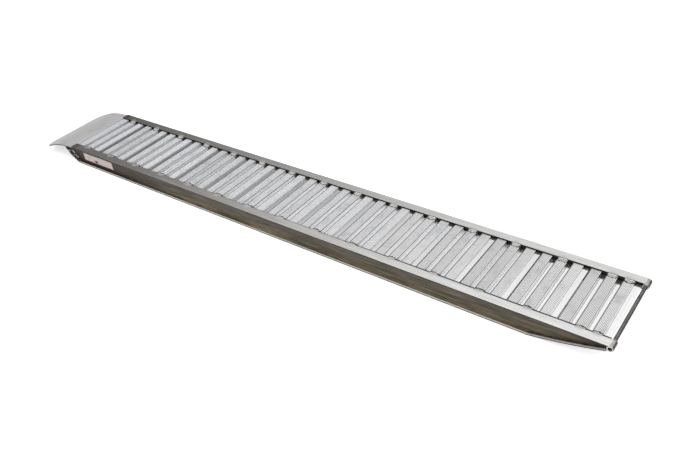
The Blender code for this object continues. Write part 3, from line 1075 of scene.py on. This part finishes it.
class RAMP_OT_ground_bar(bpy.types.Operator):
    """Dress the round bar at the ground end and its ferrules"""

    bl_idname = "ramp.ground_bar"
    bl_label = "Ground-end bar"

    def execute(self, context):
        radius = context.scene.ramp_sizes.edge_radius
        dress("ground_end_bar", drawn_round_bar, radius)
        for side in SIDES:
            dress(side + "_bar_ferrule", sawn_tube_ferrule, radius)
        return {"FINISHED"}


class RAMP_OT_label(bpy.types.Operator):
    """Dress the blank label plate"""

    bl_idname = "ramp.label"
    bl_label = "Label"

    def execute(self, context):
        radius = context.scene.ramp_sizes.label_radius
        dress("blank_label", blank_label_film, radius, segments=1)
        return {"FINISHED"}


def model_bead(name, size, sizes, random_source):
    """A weld bead about the origin: a round end extruded along X ripple by ripple.

    Size is its length, its reach to each side and its height above its middle.
    """
    length, reach, height = size
    # Widths are shares of the bead's full reach
    start_width = 0.5
    bpy.ops.object.select_all(action="DESELECT")
    bpy.ops.mesh.primitive_circle_add(
        vertices=sizes.bead_sides,
        radius=reach * start_width,
        fill_type="NGON",
        rotation=(0, math.pi / 2, 0),
        location=(-length / 2, 0, 0),
    )
    bead = bpy.context.object
    bead.name = name
    bpy.ops.object.transform_apply(location=True, rotation=True, scale=True)
    bpy.ops.object.mode_set(mode="EDIT")
    bpy.ops.mesh.select_all(action="SELECT")
    ripples = max(3, round(length / sizes.bead_ripple))
    step = length / ripples
    reached = -length / 2
    width = start_width
    for ripple in range(ripples):
        # The first and last ripple are narrower, and each falls back by a fifth
        taper = 0.78 if ripple in (0, ripples - 1) else 1.0
        crest = taper * random_source.uniform(0.86, 1.0)
        for share, target in ((0.4, crest), (0.6, crest * 0.8)):
            reached += share * step
            bpy.ops.mesh.extrude_region_move(
                TRANSFORM_OT_translate={"value": (share * step, 0, 0)}
            )
            swell = target / width
            bpy.ops.transform.resize(
                value=(1, swell, swell), center_override=(reached, 0, 0)
            )
            width = target
    bpy.ops.mesh.select_all(action="SELECT")
    bpy.ops.transform.resize(value=(1, 1, height / reach), center_override=(0, 0, 0))
    bpy.ops.mesh.normals_make_consistent(inside=False)
    bpy.ops.object.mode_set(mode="OBJECT")
    smooth = bead.modifiers.new("smooth", "SUBSURF")
    smooth.levels = 1
    smooth.render_levels = 1
    bpy.ops.object.modifier_apply(modifier=smooth.name)
    bpy.ops.object.shade_smooth()
    return bead


def bead_kinds(name, size, sizes, random_source, kinds):
    """Model that many unlike beads, to be copied."""
    return [
        model_bead(f"{name}_{kind}", size, sizes, random_source) for kind in range(kinds)
    ]


def remove_all(pieces):
    """Remove the pieces that were only copied from."""
    for piece in pieces:
        bpy.data.objects.remove(piece, do_unlink=True)


class RAMP_OT_plank_welds(bpy.types.Operator):
    """Add the weld beads between the planks and the side rails"""

    bl_idname = "ramp.plank_welds"
    bl_label = "Plank welds"

    def execute(self, context):
        sizes = context.scene.ramp_sizes
        material = made_of(weld_bead_aluminium)
        random_source = random.Random(PLANK_BEAD_SEED)
        size = (sizes.bead_length, sizes.bead_reach, sizes.bead_height)
        kinds = bead_kinds("plank_bead", size, sizes, random_source, kinds=4)
        for number, place in enumerate(weld_places(sizes)):
            for side, sign in SIDES.items():
                shift = sizes.near_bead_shift if side == "near" else 0
                kind = kinds[random_source.randrange(len(kinds))]
                x = place + random_source.uniform(-MISS_ALONG, MISS_ALONG) * MM
                miss = random_source.uniform(-MISS_ACROSS, MISS_ACROSS) * MM
                y = sign * (flange_inner_y() - shift + miss)
                turn = math.pi if number % 2 else 0
                name = f"{side}_plank_bead_{number + 1:02d}"
                bead = copy_to(kind, name, (x, y, deck_top()), turn)
                ride(bead, material)
        remove_all(kinds)
        return {"FINISHED"}


class RAMP_OT_end_welds(bpy.types.Operator):
    """Add the short beads that hold the strips at the vehicle end of the rails"""

    bl_idname = "ramp.end_welds"
    bl_label = "End welds"

    def execute(self, context):
        sizes = context.scene.ramp_sizes
        material = made_of(weld_bead_aluminium)
        random_source = random.Random(END_BEAD_SEED)
        size = (sizes.corner_length, sizes.corner_bead, sizes.corner_bead)
        kinds = bead_kinds("corner_bead", size, sizes, random_source, kinds=2)
        foot = Vector((node_high("near_nose_strip").x, 0, node_low("near_nose_strip").z))
        web_y = abs(node_high("blank_label").y)
        # Middles of the beads from the strip's foot: x, z and the slope of its leg
        places = (
            (-33 * MM, 28 * MM, math.radians(33)),
            (-53 * MM, 54 * MM, math.radians(39)),
        )
        for side, sign in SIDES.items():
            for number, (along, up, slope) in enumerate(places):
                move = foot + Vector((along, sign * web_y, up))
                name = f"{side}_nose_bead_{number + 1}"
                bead = copy_to(kinds[number], name, move, turn_y=slope)
                ride(bead, material)
        remove_all(kinds)
        return {"FINISHED"}


# Stage


def add_floor(stage):
    """The floor, a hair below what rests on it."""
    bpy.ops.object.select_all(action="DESELECT")
    bpy.ops.mesh.primitive_plane_add(
        size=stage.floor_size, location=(0, 0, -stage.floor_drop)
    )
    floor = bpy.context.object
    floor.name = "floor"
    floor.data.materials.append(made_of(white_floor))


def add_surround(stage):
    """A round wall that only reflections see, dim below and open above."""
    height = stage.surround_radius * math.tan(stage.surround_high)
    bpy.ops.object.select_all(action="DESELECT")
    bpy.ops.mesh.primitive_cylinder_add(
        vertices=64,
        radius=stage.surround_radius,
        depth=height,
        end_fill_type="NOTHING",
        location=(0, 0, height / 2),
    )
    wall = bpy.context.object
    wall.name = "surround"
    bpy.ops.object.transform_apply(location=True, rotation=True, scale=True)
    wall.data.materials.append(made_of(dim_surround))
    wall.visible_camera = False
    wall.visible_diffuse = False
    wall.visible_shadow = False


def add_lamp(stage):
    """One large soft lamp above the ramp."""
    bpy.ops.object.light_add(type="AREA", location=(0, 0, stage.lamp_height))
    lamp = bpy.context.object
    lamp.name = "overhead_lamp"
    lamp.data.shape = "SQUARE"
    lamp.data.size = stage.lamp_size
    lamp.data.energy = stage.lamp_power


def add_world(scene):
    """Even white light from all round."""
    world = bpy.data.worlds.new("open_light")
    world.use_nodes = True
    background = world.node_tree.nodes["Background"]
    background.inputs["Color"].default_value = linear("#FFFFFF")
    background.inputs["Strength"].default_value = 1
    scene.world = world


def add_camera(scene):
    """The camera at the photo's viewing angle."""
    stage = scene.ramp_stage
    bpy.ops.object.camera_add(location=stage.camera_place, rotation=stage.camera_turn)
    camera = bpy.context.object
    camera.name = "camera"
    camera.data.sensor_width = 36
    camera.data.lens = stage.camera_lens
    scene.camera = camera


class RAMP_OT_stage(bpy.types.Operator):
    """Set the floor, the surround, the lamp, the world and the camera"""

    bl_idname = "ramp.stage"
    bl_label = "Stage"

    def execute(self, context):
        scene = context.scene
        add_floor(scene.ramp_stage)
        add_surround(scene.ramp_stage)
        add_lamp(scene.ramp_stage)
        add_world(scene)
        scene.view_settings.view_transform = "Standard"
        add_camera(scene)
        return {"FINISHED"}


GROUPS = (
    ("ramp_sizes", RampSizes),
    ("ramp_colours", RampColours),
    ("ramp_stage", RampStage),
)

OPERATORS = (
    RAMP_OT_side_rails,
    RAMP_OT_deck_planks,
    RAMP_OT_lip,
    RAMP_OT_end_strips,
    RAMP_OT_ground_bar,
    RAMP_OT_label,
    RAMP_OT_plank_welds,
    RAMP_OT_end_welds,
    RAMP_OT_stage,
)


class RAMP_PT_panel(bpy.types.Panel):
    """Lists the ramp's operators, sizes and colours"""

    bl_idname = "RAMP_PT_panel"
    bl_label = "Loading ramp"
    bl_space_type = "VIEW_3D"
    bl_region_type = "UI"
    bl_category = "Ramp"

    def draw(self, context):
        for operator in OPERATORS:
            self.layout.operator(operator.bl_idname)
        for group, _ in GROUPS:
            settings = getattr(context.scene, group)
            box = self.layout.box()
            for name in settings.bl_rna.properties.keys():
                if name not in ("rna_type", "name"):
                    box.prop(settings, name)


def register():
    """Register every class and hang the settings on the scene."""
    for name, group in GROUPS:
        bpy.utils.register_class(group)
        setattr(bpy.types.Scene, name, PointerProperty(type=group))
    for operator in OPERATORS:
        bpy.utils.register_class(operator)
    bpy.utils.register_class(RAMP_PT_panel)


def unregister():
    """Undo register."""
    bpy.utils.unregister_class(RAMP_PT_panel)
    for operator in reversed(OPERATORS):
        bpy.utils.unregister_class(operator)
    for name, group in reversed(GROUPS):
        delattr(bpy.types.Scene, name)
        bpy.utils.unregister_class(group)


def main():
    """Dress the ramp and set the stage."""
    register()
    bpy.ops.ramp.side_rails()
    bpy.ops.ramp.deck_planks()
    bpy.ops.ramp.lip()
    bpy.ops.ramp.end_strips()
    bpy.ops.ramp.ground_bar()
    bpy.ops.ramp.label()
    bpy.ops.ramp.plank_welds()
    bpy.ops.ramp.end_welds()
    bpy.ops.ramp.stage()


if __name__ == "__main__":
    main()
